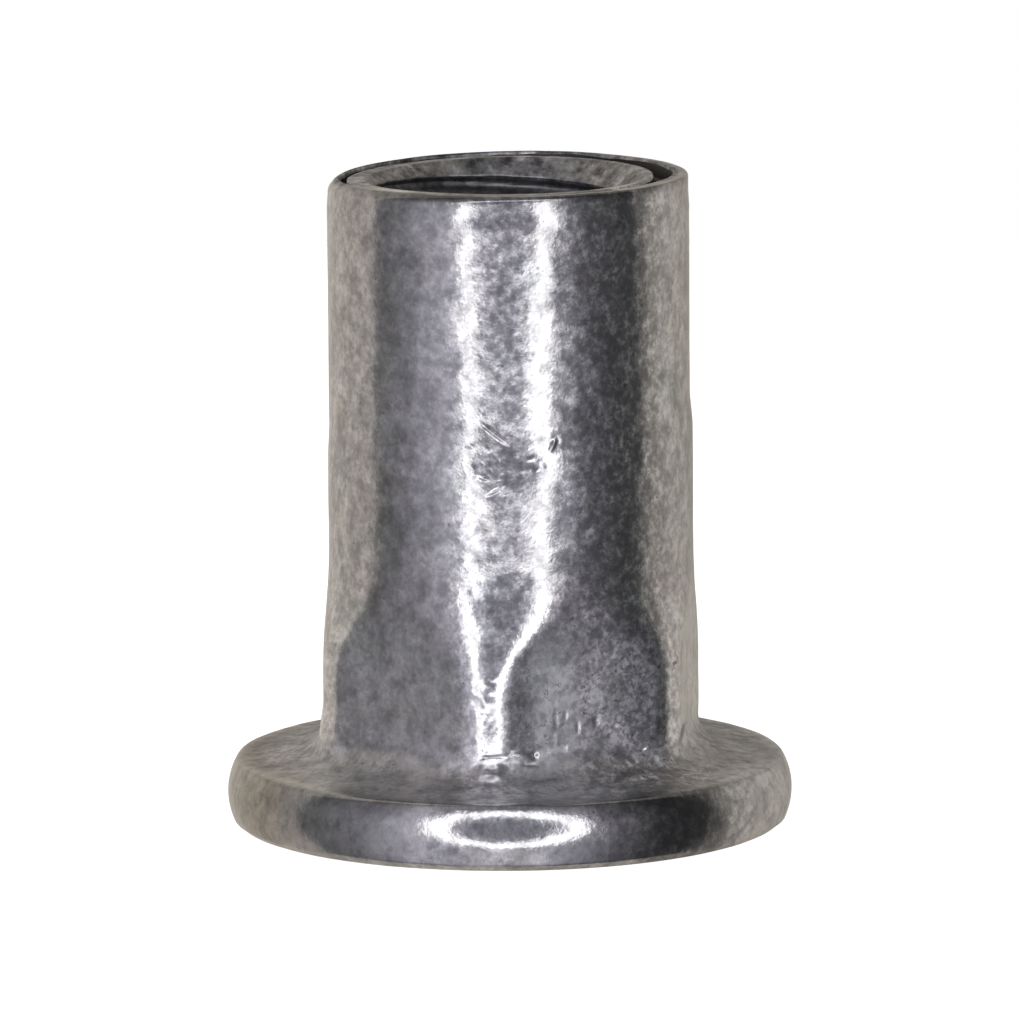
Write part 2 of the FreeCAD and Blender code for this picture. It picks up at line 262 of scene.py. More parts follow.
# Where a point of the round neck goes once the hex stands on the seat, with its soft fillet.
def filletNeck(angle, radius, height):
    drawn = nut["flatFillet"]
    reach = hexReach(angle, nut["hexCornerRadius"])
    cornerReach = hexReach(math.radians(nut["twist"] - 90) - pictureTurn, nut["hexCornerRadius"])
    share = (reach - nut["hexApothem"]) / (cornerReach - nut["hexApothem"])
    fillet = drawn + (nut["cornerFillet"] - drawn) * share
    along = nut["hexApothem"] - radius
    if radius <= nut["hexApothem"] + nut["slack"]:
        along = height - neckHeight
    if abs(along) > drawn + nut["slack"]:
        return None
    turn = math.radians(45) * (1 - along / drawn)
    newRadius = reach + fillet * (1 - math.cos(turn))
    return newRadius, seatHeight(newRadius) + fillet * (1 - math.sin(turn))


# Radius of the right-handed thread's surface: a V groove that climbs one pitch a turn.
def threadRadius(angle, height):
    pitch = nut["pitch"]
    climb = (height - nut["threadStart"]) / pitch - (angle % (2 * math.pi)) / (2 * math.pi)
    off = abs(climb % 1 - 0.5) * pitch
    flank = (pitch - nut["crestFlat"] - nut["rootFlat"]) / 2
    share = clamp((nut["rootFlat"] / 2 + flank - off) / flank)
    above = min(max(height - threadTop - nut["flareStart"], 0), nut["flareLength"])
    flare = nut["threadFlare"] * (1 - bump(above, nut["flareLength"]))
    return nut["threadCrest"] + (nut["threadRoot"] + flare - nut["threadCrest"]) * share


# The shank isn't quite round: it is fuller on the right and tucked in on the left.
def sideLean(angle, low):
    right = max(math.cos(angle), 0) * (nut["ovality"] + nut["ovalityLow"]) * (1 - low)
    return right - max(-math.cos(angle), 0) ** 2 * (nut["leftTuck"] + nut["leftTuckLow"] * low)


# Radius of the round shank, with the low step that runs round it unevenly.
def shankReach(angle, height):
    start = nut["stepHeight"] + nut["stepClimb"] * max(math.cos(angle), 0) ** 3
    start += nut["stepWander"] * noise.noise(Vector((math.cos(angle) * 2, math.sin(angle) * 2, 4)))
    share = clamp((height - start) / nut["stepLength"])
    share = share * share * (3 - 2 * share)
    drop = nut["ovalityLow"] * max(math.cos(angle), 0) * share
    return nut["hexApothem"] + (nut["shankRadius"] - nut["hexApothem"]) * share + sideLean(angle, 0) - drop


# Rounds the shank's open end, more on one side than on the other.
def roundEnd(angle, radius, height):
    size = nut["endRound"] + nut["endRoundMore"] * math.cos(angle - math.radians(nut["endRoundSide"]))
    centre = Vector((nut["shankRadius"] - size, nut["length"] - size))
    out = Vector((radius, height)) - centre
    if out.x <= 0 or out.y <= 0:
        return radius, height
    place = centre + out.normalized() * size
    return place.x, place.y


# The ring groove isn't centred, so the lip inside it is wide on one side and thin on the other.
def lipReach(angle, radius):
    outer = lipMiddle - nut["lipShift"] * math.cos(angle)
    if radius < lipOuter:
        return lipInner + (radius - lipInner) * (outer - lipInner) / (lipOuter - lipInner)
    return landInner - (landInner - radius) * (landInner - outer) / (landInner - lipOuter)


# The open end sags on one side; inside its edge lie the ring groove, the lip and the mouth.
def shapeTop(angle, radius, height):
    sag = nut["endSag"] * (height - nut["length"] + nut["topZone"]) / nut["topZone"]
    sag *= max(math.cos(angle - math.radians(nut["sagSide"])), 0) ** 2
    if radius < lipInner - nut["weld"]:
        return max(radius, threadRadius(angle, height)), height - sag
    if radius < landInner + nut["weld"]:
        return lipReach(angle, radius), height - sag
    share = (radius - landInner) / nut["landWidth"]
    radius, height = roundEnd(angle, radius, height)
    return radius + (shankReach(angle, height) - nut["shankRadius"]) * share, height - sag


# The hexagon stands on the seat's fillet and fades into the round shank.
def shapeHex(angle, height):
    fade = hexFade(height)
    cornerRadius = nut["hexCornerRadius"] + (nut["hexApothem"] - nut["hexCornerRadius"]) * fade
    reach = hexReach(angle, cornerRadius)
    standing = clamp((height - neckHeight - nut["flatFillet"]) / nut["leanFade"])
    reach += sideLean(angle, 1 - fade) * standing
    if height < nut["hexTop"]:
        foot = filletNeck(angle, nut["hexApothem"], neckTop)[1]
        height = foot + (height - neckTop) * (nut["hexTop"] - foot) / (nut["hexTop"] - neckTop)
    return reach, height


# Moves one point of the turned body to the hexagonal, threaded and worn one.
def shapeWall(angle, radius, height):
    if height > nut["length"] - nut["topZone"]:
        return shapeTop(angle, radius, height)
    if height > threadBottom - nut["chamberTaper"] and radius < lipInner - nut["weld"]:
        return max(radius, threadRadius(angle, height)), height
    if radius < landInner + nut["weld"] or height < nut["edgeHeight"]:
        return radius, height
    filleted = filletNeck(angle, radius, height)
    if filleted and height < neckTop + nut["slack"]:
        return filleted
    if radius > seatInner and height < neckHeight + nut["slack"]:
        share = (radius - seatInner) / (seatOuter - seatInner)
        if share > 1:
            return radius, height
        newInner = filletNeck(angle, seatInner, neckHeight)[0]
        newRadius = newInner + (seatOuter - newInner) * share
        return newRadius, seatHeight(newRadius)
    if height <= hexRound:
        return shapeHex(angle, height)
    return shankReach(angle, height), height


# Slow and quick waves of the wall in millimetres, and where they and the plating end.
waves = {
    "long": 0.008,
    "longSize": 0.95,
    "short": 0.0032,
    "shortSize": 0.36,
    "stretch": 0.6,
    "insetShare": 0.7,
    "endClear": 0.35,
    "endFade": 0.3,
    "seatClear": 1,
}

# Dents and burrs of the front: bearing from the viewer in degrees (right is positive), height, half
# width and half height, tilt in degrees (right end up is positive), and lift.
marks = [
    (3.6, 1.93, 0.31, 0.15, -10, 0.04), (2.0, 2.05, 0.20, 0.05, 4, 0.015),
    (7.4, 1.93, 0.07, 0.12, 0, -0.035), (5.6, 1.78, 0.22, 0.05, -8, -0.02),
    (-5.6, 1.62, 0.42, 0.30, 0, 0.12), (-5.2, 1.70, 0.17, 0.13, 0, -0.05),
    (-4.6, 1.94, 0.36, 0.05, 4, -0.03), (45.0, 1.60, 0.27, 0.20, 8, -0.05),
    (34.5, 1.14, 0.19, 0.17, 0, 0.10), (44.0, 1.88, 0.10, 0.05, 20, 0.02),
    (21.7, 2.41, 0.06, 0.19, 2, -0.012), (14.4, 2.60, 0.06, 0.28, 4, -0.010),
    (17.6, 2.66, 0.06, 0.14, -3, -0.010), (27.9, 2.50, 0.10, 0.18, 2, -0.012),
    (31.3, 2.64, 0.26, 0.04, 2, -0.008), (34.0, 2.38, 0.10, 0.06, 10, -0.010),
    (14.7, 2.13, 0.06, 0.10, 0, 0.006), (18.4, 2.03, 0.06, 0.08, 0, 0.005),
    (36.6, 3.82, 0.08, 0.035, 32, 0.03), (81, 1.50, 0.06, 0.10, -30, -0.07),
    (-4.3, 8.16, 0.46, 0.042, -39, 0.022), (-4.0, 7.06, 0.25, 0.045, 29, 0.024),
    (-7.5, 7.30, 0.14, 0.05, -20, 0.02), (14.3, 7.91, 0.17, 0.05, 66, 0.03),
    (36.0, 7.90, 0.20, 0.24, 0, 0.022), (33.2, 8.30, 0.05, 0.18, 20, 0.02),
    (37.5, 7.12, 0.16, 0.03, 0, -0.025), (61.8, 7.24, 0.36, 0.04, 48, -0.03),
    (-64.9, 7.66, 0.035, 0.21, -6, -0.025), (-63.0, 8.66, 0.04, 0.14, -20, -0.022),
    (-60.5, 8.50, 0.09, 0.03, -10, -0.018), (0.6, 10.80, 0.15, 0.03, 3, 0.014),
    (1.4, 10.68, 0.14, 0.03, -3, 0.014), (0.2, 10.93, 0.09, 0.02, 8, 0.012),
    (-19.2, 7.40, 0.03, 0.05, 0, 0.015), (-19.0, 7.18, 0.03, 0.04, 0, 0.015),
    (-22.4, 6.10, 0.035, 0.04, 0, 0.015), (-28.6, 4.95, 0.035, 0.30, -16, -0.012),
    (-24.8, 4.35, 0.035, 0.36, -20, -0.012), (-21.9, 3.80, 0.035, 0.30, -16, -0.010),
    (14.0, 11.25, 0.35, 0.05, 12, 0.012), (-15.0, 11.20, 0.45, 0.45, 0, 0.011),
    (-15.5, 10.60, 0.45, 0.40, 0, -0.008),
]

# Small marks with no set place: how many, and a rule for each number of a mark, in the order above.
# A rule is a fixed number, or a kind of random draw and its limits. They are flecks where the step
# crosses the front, hair scratches, the front ridge's dents, and dings all over.
scatter = {
    "seed": 11,
    "families": [
        (17, [("uniform", -13, 11), ("gauss", 7.58, 0.16), ("uniform", 0.06, 0.15), ("uniform", 0.03, 0.07),
              ("uniform", -60, 60), ("choice", (-0.006, 0.006, 0.009))]),
        (30, [("uniform", 12, 34), ("uniform", 2.2, 3.7), ("uniform", 0.05, 0.16), 0.03,
              ("uniform", -70, 70), ("choice", (-0.005, -0.004, 0.003))]),
        (24, [("uniform", -10, -3.5), ("uniform", 1.95, 3.5), ("uniform", 0.07, 0.15),
              ("uniform", 0.08, 0.22), ("uniform", -50, 50), ("choice", (-0.008, -0.005, 0.006))]),
        (70, [("uniform", -180, 180), ("uniform", 2.0, 12.3), ("uniform", 0.08, 0.2), ("uniform", 0.08, 0.2),
              ("uniform", -90, 90), ("uniform", -0.014, 0.006)]),
    ],
}


def drawNumber(dice, rule):
    if isinstance(rule, tuple):
        return getattr(dice, rule[0])(*rule[1:])
    return rule


def scatterMarks():
    dice = random.Random(scatter["seed"])
    more = []
    for count, rules in scatter["families"]:
        for _ in range(count):
            more.append(tuple(drawNumber(dice, rule) for rule in rules))
    return more


# Sum of the marks' lifts at one point of the wall.
def markLift(point, radius, ready):
    turn = math.degrees(math.atan2(point.x, -point.y))
    lift = 0
    for side, height, halfAcross, halfUp, cosTilt, sinTilt, rise, reach in ready:
        up = point.z - max(radius - nut["hexApothem"] - nut["flatFillet"], 0) - height
        if abs(up) > reach:
            continue
        along = math.radians((turn - side + 180) % 360 - 180) * radius
        if abs(along) > reach:
            continue
        first = (along * cosTilt + up * sinTilt) / halfAcross
        second = (up * cosTilt - along * sinTilt) / halfUp
        square = first * first + second * second
        if square < 1:
            lift += rise * (1 - square) ** 2
    return lift


# Slow unevenness of the formed wall, in millimetres along its normal.
def wallWave(point):
    slow = Vector((point.x, point.y, point.z * waves["stretch"])) / waves["longSize"]
    quick = Vector((point.x, point.y, point.z * waves["stretch"])) / waves["shortSize"]
    return waves["long"] * noise.noise(slow) + waves["short"] * noise.noise(quick + Vector((7, 3, 1)))


# Parts of the front whose marks need a finer mesh: bearings and heights from, to, and cuts.
fine = {
    "zones": [(-13, 56, 1.5, 3.8, 2), (-14, 19, 6.85, 8.65, 2), (28, 41, 7.0, 8.5, 1),
              (-6, 4, 12.2, 12.6, 1)],
    "landMargin": 0.1,
    "seatMargin": 0.55,
}


def refineZones(bm):
    for fromTurn, toTurn, low, high, cuts in fine["zones"]:
        inside = set()
        for vert in bm.verts:
            turn = math.degrees(math.atan2(vert.co.x, -vert.co.y))
            onWall = landInner + fine["landMargin"] < vert.co.xy.length < seatInner + fine["seatMargin"]
            if fromTurn < turn < toTurn and low < vert.co.z < high and onWall:
                inside.add(vert)
        edges = [edge for edge in bm.edges if edge.verts[0] in inside and edge.verts[1] in inside]
        bmesh.ops.subdivide_edges(bm, edges=edges, cuts=cuts, use_grid_fill=True)


def shapeNut(bm):
    refineZones(bm)
    for vert in bm.verts:
        angle = math.atan2(vert.co.y, vert.co.x)
        radius = math.hypot(vert.co.x, vert.co.y)
        newRadius, newHeight = shapeWall(angle, radius, vert.co.z)
        vert.co = (newRadius * math.cos(angle), newRadius * math.sin(angle), newHeight)
    bm.normal_update()
    ready = []
    for side, height, halfAcross, halfUp, tilt, rise in marks + scatterMarks():
        lean = math.radians(tilt)
        ready.append((side, height, halfAcross, halfUp, math.cos(lean), math.sin(lean), rise,
                      max(halfAcross, halfUp)))
    moves = []
    for vert in bm.verts:
        radius = vert.co.xy.length
        if radius < lipOuter or vert.co.z < nut["weld"]:
            moves.append(0)
            continue
        onShank = clamp((vert.co.z - neckHeight) / nut["flatFillet"])
        onShank *= clamp((nut["length"] - waves["endClear"] - vert.co.z) / waves["endFade"])
        inset = waves["long"] * waves["insetShare"]
        move = wallWave(vert.co) - inset + (nut["plating"] + inset) * onShank
        if landInner < radius < edgeRadius - waves["seatClear"] and vert.co.z > nut["edgeHeight"]:
            move += markLift(vert.co, radius, ready)
        moves.append(move)
    for vert, move in zip(bm.verts, moves):
        vert.co += vert.normal * move


def makeNut(material):
    bm = bmesh.new()
    drawNutProfile(bm)
    bmesh.ops.spin(bm, geom=bm.verts[:] + bm.edges[:], cent=(0, 0, 0), axis=(0, 0, 1),
                   angle=2 * math.pi, steps=nut["spinSteps"], use_merge=True, use_duplicate=False)
    bmesh.ops.remove_doubles(bm, verts=bm.verts[:], dist=nut["weld"])
    bmesh.ops.recalc_face_normals(bm, faces=bm.faces[:])
    shapeNut(bm)
    bmesh.ops.rotate(bm, verts=bm.verts[:], cent=(0, 0, 0), matrix=Matrix.Rotation(pictureTurn, 3, "Z"))
    bmesh.ops.scale(bm, verts=bm.verts[:], vec=(mm, mm, mm))
    for face in bm.faces:
        face.smooth = True
    mesh = bpy.data.meshes.new("nutBody")
    bm.to_mesh(mesh)
    bm.free()
    mesh.materials.append(material)
    piece = bpy.data.objects.new("nutBody", mesh)
    bpy.context.scene.collection.objects.link(piece)
    print("nut body", len(mesh.vertices), "vertices,", len(mesh.polygons), "faces")
    return piece


def newMaterial(name):
    material = bpy.data.materials.new(name)
    material.use_nodes = True
    tree = material.node_tree
    tree.nodes.clear()
    return material, tree


def addNode(tree, kind, **settings):
    node = tree.nodes.new(kind)
    for key, value in settings.items():
        setattr(node, key, value)
    return node


# The look of the worn plating, with some painted shade, shadow, highlights and reflection in its colour.
# Depths are in millimetres; shares and gains have no unit.
zinc = {
    "colour": (0.56, 0.56, 0.575, 1),
    "warmColour": (0.57, 0.555, 0.565, 1),
    "coolColour": (0.545, 0.56, 0.56, 1),
    "dullColour": (0.30, 0.295, 0.305, 1),
    "speckColour": (0.24, 0.24, 0.25, 1),
    # Painted shade colour for the thread in the bore.
    "boreShadeColour": (0.23, 0.226, 0.234, 1),
    # Painted shadow colour for the ring groove.
    "grooveShadowColour": (0.065, 0.065, 0.065, 1),
    "polish": 0.15,
    "scuff": 0.3,
    "hexRoughness": 0.2,
    "flatRoughness": 0.31,
    "seatRoughness": 0.5,
    "mouthRoughness": 0.45,
    "lumpPolish": -0.15,
    "middleWear": 0.6,
    "wearGain": 0.22,
    "speckGain": 0.1,
    "headCalm": 0.75,
    "hexCalm": 0.7,
    "seatCalm": 0.55,
    "seatPale": 0.13,
    # Painted highlight on the lumps.
    "lumpHighlight": 0.35,
    # Painted highlight on the front ridge.
    "ridgeHighlight": 0.3,
    "fleckPower": 1.9,
    "fleckGain": 0.8,
    "fleckLeast": 0.07,
    "headFleck": -0.4,
    "hexDull": -0.4,
    # How much darker the end face's outer ring is.
    "endDarkening": 0.42,
    # Painted shade on the mouth's cone.
    "coneShade": 0.2,
    "crackShade": -0.6,
    "cornerShade": -0.4,
    "lipMargin": 0.012,
    "landMargin": 0.006,
    "boreMargin": 0.05,
    "grooveMargin": 0.1,
    "threadHigh": 12.286,
    "threadPhase": 0.512,
    "patchDepth": 0.0012,
    "peelDepth": 0.024,
    "fineDepth": 0.0024,
    "grainDepth": 0.0007,
}


# Colour ramp from a list of (position, value or colour).
def ramp(tree, value, stops):
    node = addNode(tree, "ShaderNodeValToRGB")
    elements = node.color_ramp.elements
    while len(elements) < len(stops):
        elements.new(0.5)
    for element, stop in zip(elements, stops):
        element.position = stop[0]
    for element, stop in zip(elements, stops):
        level = stop[1]
        element.color = level if isinstance(level, tuple) else (level, level, level, 1)
    tree.links.new(value, node.inputs["Fac"])
    return node.outputs["Color"]


def maths(tree, operation, first, second=None, third=None):
    node = addNode(tree, "ShaderNodeMath", operation=operation)
    for socket, value in zip(node.inputs, (first, second, third)):
        if value is None:
            continue
        if isinstance(value, (int, float)):
            socket.default_value = value
        else:
            tree.links.new(value, socket)
    return node.outputs["Value"]


def noiseField(tree, place, scale, detail, roughness=0.5):
    node = addNode(tree, "ShaderNodeTexNoise")
    node.inputs["Scale"].default_value = scale
    node.inputs["Detail"].default_value = detail
    node.inputs["Roughness"].default_value = roughness
    tree.links.new(place, node.inputs["Vector"])
    return node.outputs["Fac"]


def mixColour(tree, factor, first, second):
    node = addNode(tree, "ShaderNodeMix", data_type="RGBA")
    for name, value in (("Factor", factor), ("A", first), ("B", second)):
        if isinstance(value, (int, float, tuple)):
            node.inputs[name].default_value = value
        else:
            tree.links.new(value, node.inputs[name])
    return node.outputs["Result"]


def multiplyColour(tree, first, second):
    node = addNode(tree, "ShaderNodeMix", data_type="RGBA", blend_type="MULTIPLY")
    node.inputs["Factor"].default_value = 1
    tree.links.new(first, node.inputs["A"])
    if isinstance(second, tuple):
        node.inputs["B"].default_value = second
    else:
        tree.links.new(second, node.inputs["B"])
    return node.outputs["Result"]


# Object coordinates in the picture's frame, in millimetres.
def turnedPlace(tree, more=0.0):
    coords = addNode(tree, "ShaderNodeTexCoord")
    mapping = addNode(tree, "ShaderNodeMapping")
    mapping.inputs["Scale"].default_value = (1 / mm, 1 / mm, 1 / mm)
    mapping.inputs["Rotation"].default_value = (0, 0, more - pictureTurn)
    tree.links.new(coords.outputs["Object"], mapping.inputs["Vector"])
    return mapping.outputs["Vector"]


# 0 to 1 round the axis: 0.5 faces the viewer of the picture, and it grows to the right.
def bearing(tree, start=90):
    radial = addNode(tree, "ShaderNodeTexGradient", gradient_type="RADIAL")
    tree.links.new(turnedPlace(tree, math.radians(start)), radial.inputs["Vector"])
    return radial.outputs["Fac"]


def product(tree, first, *others):
    for other in others:
        first = maths(tree, "MULTIPLY", first, other)
    return first


# Ramp over heights or radii from 0 to the span, with its stops in millimetres too.
def rampOver(tree, value, span, stops):
    shares = [(stop / span, level) for stop, level in stops]
    return ramp(tree, maths(tree, "MULTIPLY", value, 1 / span), shares)


# Makes a colour paler where the mask is 1, or darker if the amount is negative.
def shadeBy(tree, colour, mask, amount):
    return multiplyColour(tree, colour, maths(tree, "MULTIPLY_ADD", mask, amount, 1.0))


# What the metal's roughness, colour and relief share: places, wear and zones, each mask 0 to 1.
def zincFields(tree):
    place = turnedPlace(tree)
    apart = addNode(tree, "ShaderNodeSeparateXYZ")
    tree.links.new(place, apart.inputs["Vector"])
    across, deep, height = apart.outputs["X"], apart.outputs["Y"], apart.outputs["Z"]
    square = maths(tree, "ADD", product(tree, across, across), product(tree, deep, deep))
    radius = maths(tree, "SQRT", square)
    round01 = bearing(tree)
    wear = ramp(tree, round01, [(0.0, 0.6), (0.22, 0.6), (0.30, 0.5), (0.37, 0.4), (0.44, 0.3),
                                (0.462, 0.6), (0.5, 0.62), (0.53, 0.4), (0.55, 0.45), (0.57, 0.85),
                                (0.61, 1.0), (0.64, 0.8), (0.665, 0.48), (0.76, 0.48), (1.0, 0.6)])
    wearShift = maths(tree, "SUBTRACT", wear, zinc["middleWear"])
    patches = noiseField(tree, place, 5.2, 4, 0.6)
    patches = maths(tree, "MULTIPLY_ADD", wearShift, zinc["wearGain"], patches)
    seat = rampOver(tree, height, 10, [(1.26, 0.0), (1.32, 1.0), (1.72, 1.0), (2.15, 0.0)])
    head = rampOver(tree, height, 10, [(1.3, 1.0), (1.38, 0.0)])
    hexZone = rampOver(tree, height, 10, [(1.6, 0.0), (2.0, 1.0), (3.6, 1.0), (5.0, 0.0)])
    # Two pressed lumps at the hex's foot: smoother there, and paler in colour as a painted highlight.
    lumps = ramp(tree, round01, [(0.464, 0.0), (0.472, 1.0), (0.497, 1.0), (0.504, 0.0),
                                 (0.582, 0.0), (0.590, 1.0), (0.602, 1.0), (0.610, 0.0)])
    nearHex = rampOver(tree, radius, 10, [(4.4, 1.0), (4.65, 0.0)])
    calm = maths(tree, "MAXIMUM", product(tree, head, zinc["headCalm"]),
                 product(tree, hexZone, zinc["hexCalm"]))
    # The sides are burnished, so what they mirror has crisp edges.
    burnish = ramp(tree, round01, [(0.30, 1.0), (0.34, 0.5), (0.385, 0.5), (0.415, 1.0),
                                   (0.595, 1.0), (0.615, 0.4), (0.67, 0.4), (0.70, 1.0)])
    wall = rampOver(tree, height, 10, [(1.8, 0.0), (2.2, 1.0)])
    burnished = maths(tree, "MAXIMUM", wall, head)
    return SimpleNamespace(
        place=place, across=across, height=height, radius=radius, round01=round01,
        wear=wear, wearShift=wearShift, seat=seat, head=head, hexZone=hexZone,
        patchMask=ramp(tree, patches, [(0.42, 0.0), (0.66, 1.0)]),
        lumps=product(tree, lumps, nearHex, seat),
        liveliness=maths(tree, "SUBTRACT", 1.0, calm),
        keep=maths(tree, "MULTIPLY_ADD", maths(tree, "SUBTRACT", burnish, 1.0), burnished, 1.0),
        slow=noiseField(tree, place, 0.9, 3),
    )


# The polish, the scuffed patches on it, and the rougher seat, mouth and pressed hex.
def zincRoughness(tree, field):
    mouth = rampOver(tree, field.radius, 5, [(3.275, 1.0), (3.45, 0.0)])
    hexRough = ramp(tree, field.round01, [(0.505, zinc["hexRoughness"]), (0.525, zinc["flatRoughness"]),
                                          (0.62, zinc["flatRoughness"]), (0.645, zinc["hexRoughness"])])
    base = maths(tree, "MAXIMUM", product(tree, field.hexZone, hexRough), zinc["polish"])
    base = maths(tree, "MAXIMUM", base, product(tree, mouth, zinc["mouthRoughness"]))
    base = maths(tree, "MAXIMUM", base, product(tree, field.seat, zinc["seatRoughness"]))
    base = product(tree, base, maths(tree, "MULTIPLY_ADD", field.lumps, zinc["lumpPolish"], 1.0))
    scuffing = product(tree, field.patchMask, field.liveliness)
    scuffed = maths(tree, "MULTIPLY_ADD", scuffing, zinc["scuff"] - zinc["polish"], zinc["polish"])
    return product(tree, maths(tree, "MAXIMUM", base, scuffed), field.keep)


# The plating itself: its mottling, blotches, flecks, dull patches and specks, with painted shade at the step
# and painted highlights on the lumps and the front ridge.
def platingShadeAndHighlights(tree, field):
    place, height, round01, hexZone = field.place, field.height, field.round01, field.hexZone
    tint = ramp(tree, field.slow, [(0.35, zinc["warmColour"]), (0.5, zinc["colour"]),
                                   (0.65, zinc["coolColour"])])
    mottle = ramp(tree, noiseField(tree, place, 2.6, 6, 0.72), [(0.30, 0.66), (0.5, 0.98), (0.68, 1.16)])
    calmSeat = product(tree, maths(tree, "MAXIMUM", field.seat, field.head), zinc["seatCalm"])
    tint = mixColour(tree, calmSeat, multiplyColour(tree, tint, mottle), tint)
    flatTint = ramp(tree, round01, [(0.49, 0.27), (0.53, 0.5), (0.64, 0.5), (0.66, 0.3)])
    tint = shadeBy(tree, tint, hexZone, flatTint)
    blotch = ramp(tree, noiseField(tree, place, 1.3, 3, 0.6), [(0.36, 0.84), (0.5, 1.0), (0.64, 1.13)])
    tint = multiplyColour(tree, tint, blotch)
    # The step's shade on the left: pale above its edge and dark below.
    stepShade = rampOver(tree, height, 10, [(5.0, 1.0), (5.6, 0.86), (7.22, 0.86), (7.28, 1.14), (7.8, 1.0)])
    stepSide = ramp(tree, round01, [(0.37, 0.0), (0.39, 1.0), (0.42, 1.0), (0.445, 0.0)])
    tint = mixColour(tree, stepSide, tint, multiplyColour(tree, tint, stepShade))
    # Painted highlight: the ridge is paler where it leaves the round shank.
    ridgeHighlightSide = ramp(tree, round01, [(0.462, 0.0), (0.478, 1.0), (0.512, 1.0), (0.528, 0.0)])
    ridgeHighlightRise = rampOver(tree, height, 10, [(4.0, 0.0), (4.6, 1.0), (5.4, 1.0), (5.8, 0.0)])
    tint = shadeBy(tree, tint, field.seat, zinc["seatPale"])
    # Painted highlight: the lumps' colour is made paler.
    tint = shadeBy(tree, tint, field.lumps, zinc["lumpHighlight"])
    tint = shadeBy(tree, tint, product(tree, ridgeHighlightSide, ridgeHighlightRise), zinc["ridgeHighlight"])
    fleck = ramp(tree, noiseField(tree, place, 8.5, 3, 0.65), [(0.41, 0.0), (0.59, 1.0)])
    fleckDepth = maths(tree, "POWER", field.wear, zinc["fleckPower"])
    fleckDepth = maths(tree, "MULTIPLY_ADD", fleckDepth, zinc["fleckGain"], zinc["fleckLeast"])
    fleckDepth = product(tree, fleckDepth, maths(tree, "MULTIPLY_ADD", field.head, zinc["headFleck"], 1.0))
    tint = shadeBy(tree, tint, maths(tree, "SUBTRACT", fleck, 0.5), fleckDepth)
    dull = noiseField(tree, place, 3.6, 6, 0.68)
    dull = maths(tree, "MULTIPLY_ADD", field.wearShift, zinc["wearGain"], dull)
    dullMask = product(tree, ramp(tree, dull, [(0.46, 0.0), (0.68, 1.0)]),
                       maths(tree, "MULTIPLY_ADD", hexZone, zinc["hexDull"], 1.0))
    specks = noiseField(tree, place, 6.5, 2)
    specks = maths(tree, "MULTIPLY_ADD", field.wearShift, zinc["speckGain"], specks)
    speckMask = ramp(tree, specks, [(0.70, 0.0), (0.77, 1.0)])
    colour = mixColour(tree, dullMask, tint, zinc["dullColour"])
    return mixColour(tree, speckMask, colour, zinc["speckColour"])


# The seat darker at its back and sides, the open end's face darker, painted shade on the mouth's cone, a
# painted shadow in the ring groove, and painted shade on the thread.
def mouthColour(tree, field, colour):
    place, height, radius = field.place, field.height, field.radius
    endFace = rampOver(tree, height, 13, [(12.48, 0.0), (12.636, 1.0)])
    outerRing = rampOver(tree, radius, 5, [(3.2, 0.0), (3.25, 1.0)])
    cone = rampOver(tree, radius, 5, [(2.7, 1.0), (2.75, 0.0)])
    mouthZone = rampOver(tree, height, 13, [(11.765, 0.0), (11.856, 1.0)])
    # The end face's outer ring and the seat, most at its back and sides, are made darker; the mouth's cone
    # gets painted shade.
    frontSeat = ramp(tree, field.round01, [(0.20, 0.3), (0.32, 0.06), (0.68, 0.06), (0.8, 0.3)])
    darkeningAndShade = maths(tree, "MAXIMUM", product(tree, endFace, outerRing, zinc["endDarkening"]),
                 product(tree, mouthZone, cone, zinc["coneShade"]))
    darkeningAndShade = maths(tree, "MAXIMUM", product(tree, field.seat, frontSeat), darkeningAndShade)
    darkeningAndShade = product(tree, darkeningAndShade, ramp(tree, field.slow, [(0.35, 0.6), (0.6, 1.25)]))
    colour = multiplyColour(tree, colour, maths(tree, "SUBTRACT", 1.0, darkeningAndShade))
    # Old oil and dirt have settled on the mouth in blots.
    blots = ramp(tree, noiseField(tree, place, 2.4, 5, 0.7), [(0.36, 0.34), (0.5, 0.85), (0.62, 1.3)])
    inMouth = product(tree, mouthZone, maths(tree, "LESS_THAN", radius, landInner + zinc["grooveMargin"]))
    colour = mixColour(tree, inMouth, colour, multiplyColour(tree, colour, blots))
    # Painted shadow: the groove between the off-centre lip and the land, and the land's inner wall, are
    # painted near black.
    lipEdge = maths(tree, "MULTIPLY_ADD", maths(tree, "DIVIDE", field.across, radius), -nut["lipShift"],
                    lipMiddle + zinc["lipMargin"])
    groove = product(tree, maths(tree, "GREATER_THAN", radius, lipEdge),
                     maths(tree, "LESS_THAN", radius, landInner - zinc["landMargin"]),
                     maths(tree, "GREATER_THAN", height, grooveFloor - zinc["grooveMargin"]))
    colour = mixColour(tree, groove, colour, zinc["grooveShadowColour"])
    # Painted shade: the thread lies below a helix that falls one pitch a turn, and is painted dark there,
    # with mottling.
    helix = maths(tree, "MULTIPLY_ADD", bearing(tree, -90), nut["pitch"],
                  zinc["threadHigh"] - nut["pitch"] * zinc["threadPhase"])
    below = maths(tree, "ADD", maths(tree, "SUBTRACT", helix, height), 0.5)
    boreShade = product(tree, maths(tree, "LESS_THAN", radius, lipInner + zinc["boreMargin"]),
                     ramp(tree, below, [(0.49, 0.0), (0.51, 1.0)]))
    boreMottle = ramp(tree, noiseField(tree, place, 4.2, 4, 0.65), [(0.38, 0.62), (0.62, 1.35)])
    return mixColour(tree, boreShade, colour, multiplyColour(tree, boreMottle, zinc["boreShadeColour"]))
